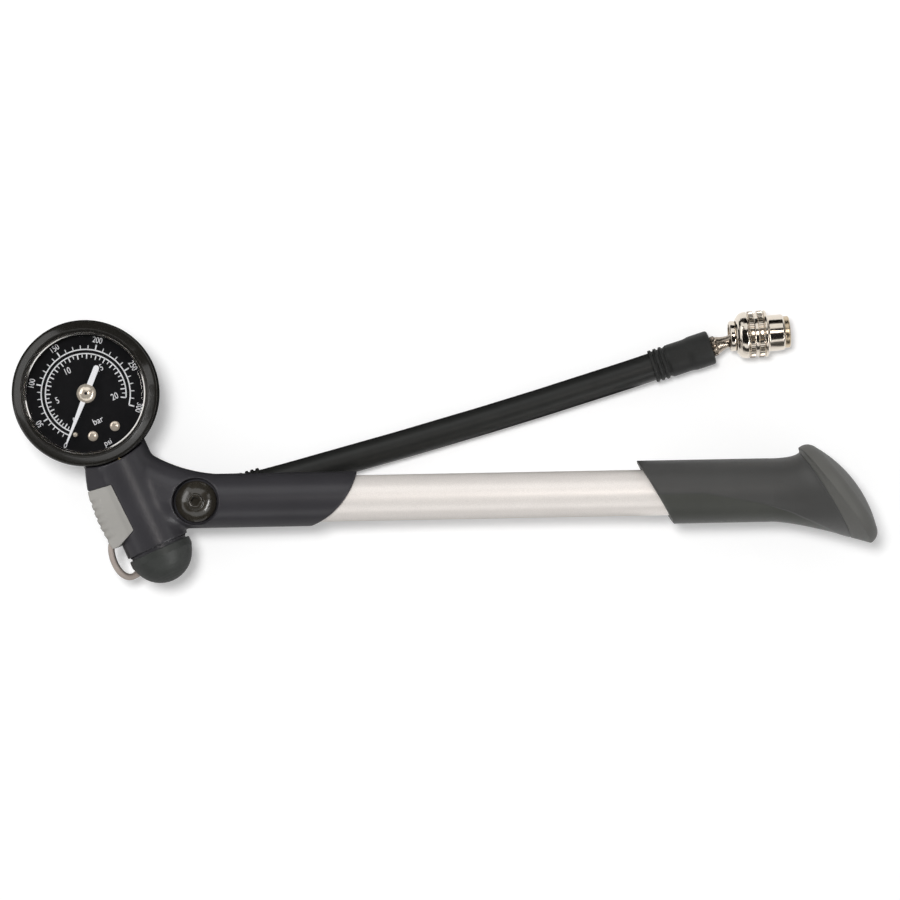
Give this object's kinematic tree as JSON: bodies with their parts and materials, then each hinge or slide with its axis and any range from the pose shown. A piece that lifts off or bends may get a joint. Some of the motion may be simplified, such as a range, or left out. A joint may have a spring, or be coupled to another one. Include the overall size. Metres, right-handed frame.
{
  "type": "shock suspension pump",
  "caption": "Slim hand pump for air shocks and forks, with a leaning head, round pressure gauge, bleed button, flared palm handle and a swinging hose with a screw-on valve coupler.",
  "frame": {"origin": "centre of the gauge's back face, on which the pump lies", "axes": "+X along the barrel towards the handle, +Z out of the dial, +Y from the barrel towards the gauge's side"},
  "size_m": [0.2426, 0.0743, 0.0344],
  "materials": {
    "gauge_black": "black enamel on the gauge's case",
    "bezel_black": "gloss black moulding",
    "lens_clear": "clear lens",
    "dial_black": "matt black with white print",
    "pointer_white": "white",
    "nickel": "nickel plate",
    "coupler_nickel": "bright nickel plate",
    "brass": "turned brass",
    "steel": "turned steel",
    "rod_chrome": "polished rod",
    "head_charcoal": "dark blue-grey moulding",
    "pad_grey": "light grey soft moulding",
    "loop_taupe": "grey-brown soft strap",
    "button_grey": "dark grey-green moulding",
    "bolt_black": "black finish",
    "barrel_silver": "satin silver",
    "handle_grey": "dark grey moulding",
    "palm_grey": "mid-grey soft moulding",
    "hose_black": "matt black hose",
    "ferrule_black": "black moulding",
    "piston_white": "natural acetal",
    "guide_black": "black acetal",
    "seal_black": "black seal rubber"
  },
  "bodies": {
    "pump_body": {"gauge_case": "gauge_black", "gauge_bezel": "bezel_black", "gauge_lens": "lens_clear", "lens_gasket": "seal_black", "gauge_dial": "dial_black", "dial_screws": "nickel", "pointer_stop_pin": "nickel", "gauge_socket": "brass", "socket_seal": "seal_black", "bourdon_tube": "brass", "movement_frame": "brass", "hairspring": "steel", "head_body": "head_charcoal", "grip_pad": "pad_grey", "lanyard_loop": "loop_taupe", "bleed_seat": "brass", "bleed_spring": "steel", "pivot_bolt": "bolt_black", "pivot_washer": "seal_black", "elbow_nut": "bolt_black", "barrel": "barrel_silver", "barrel_seal": "seal_black", "check_valve_body": "brass", "check_spring": "steel", "rod_guide": "guide_black", "rod_seal": "seal_black"},
    "handle": {"handle_body": "handle_grey", "palm_pad": "palm_grey", "handle_screw": "steel", "bottom_out_bumper": "seal_black", "piston_rod": "rod_chrome", "piston": "piston_white", "piston_seal": "seal_black", "top_out_bumper": "seal_black"},
    "hose_line": {"hose_elbow": "ferrule_black", "rear_ferrule": "ferrule_black", "hose": "hose_black", "front_ferrule": "ferrule_black", "coupler_stem": "nickel", "valve_seal": "seal_black", "depressor_pin": "brass"},
    "coupler": {"coupler_cap": "coupler_nickel", "coupler_body": "coupler_nickel"},
    "bleed_valve": {"bleed_button": "button_grey", "bleed_pin": "steel"},
    "needle": {"pointer_arbor": "steel", "gauge_pointer": "pointer_white", "pointer_hub": "nickel"},
    "sector": {"sector_gear": "brass"},
    "link": {"sector_link": "steel"},
    "ball": {"check_ball": "steel"}
  },
  "joints": [
    {"name": "handle_slide", "type": "slide", "parent": "pump_body", "child": "handle", "axis": [1, 0, 0], "range_m": [0, 0.1115]},
    {"name": "hose_swing", "type": "hinge", "parent": "pump_body", "child": "hose_line", "pos_m": [0.0302, -0.0309, 0.0048], "axis": [0, 0, 1], "range_deg": [-8, 80]},
    {"name": "coupler_spin", "type": "hinge", "parent": "hose_line", "child": "coupler", "pos_m": [0.18739, 0.01346, 0.00678], "axis": [0.9981, 0.061, 0], "continuous": true},
    {"name": "bleed_press", "type": "slide", "parent": "pump_body", "child": "bleed_valve", "axis": [-0.3987, 0.9171, 0], "range_m": [0, 0.0007], "stiffness_N_per_m": 2000, "deforming": ["bleed_spring"]},
    {"name": "sector_swing", "type": "hinge", "parent": "pump_body", "child": "sector", "pos_m": [0.00938, 0.00621, 0.013], "axis": [0, 0, 1], "range_deg": [0, 32.8], "deforming": ["bourdon_tube"]},
    {"name": "pointer_sweep", "type": "hinge", "parent": "pump_body", "child": "needle", "pos_m": [0, 0, 0.013], "axis": [0, 0, 1], "range_deg": [-262.5, 0], "deforming": ["hairspring"]},
    {"name": "link_swing", "type": "hinge", "parent": "sector", "child": "link", "pos_m": [0.01157, 0.00117, 0.0141], "axis": [0, 0, 1], "range_deg": [-33, 0]},
    {"name": "check_lift", "type": "slide", "parent": "pump_body", "child": "ball", "axis": [-1, 0, 0], "range_m": [0, 0.001], "stiffness_N_per_m": 300, "deforming": ["check_spring"]}
  ],
  "couplings": [
    {"joint": "pointer_sweep", "follows": "sector_swing", "ratio": -8},
    {"joint": "link_swing", "follows": "sector_swing", "ratio": -1}
  ]
}
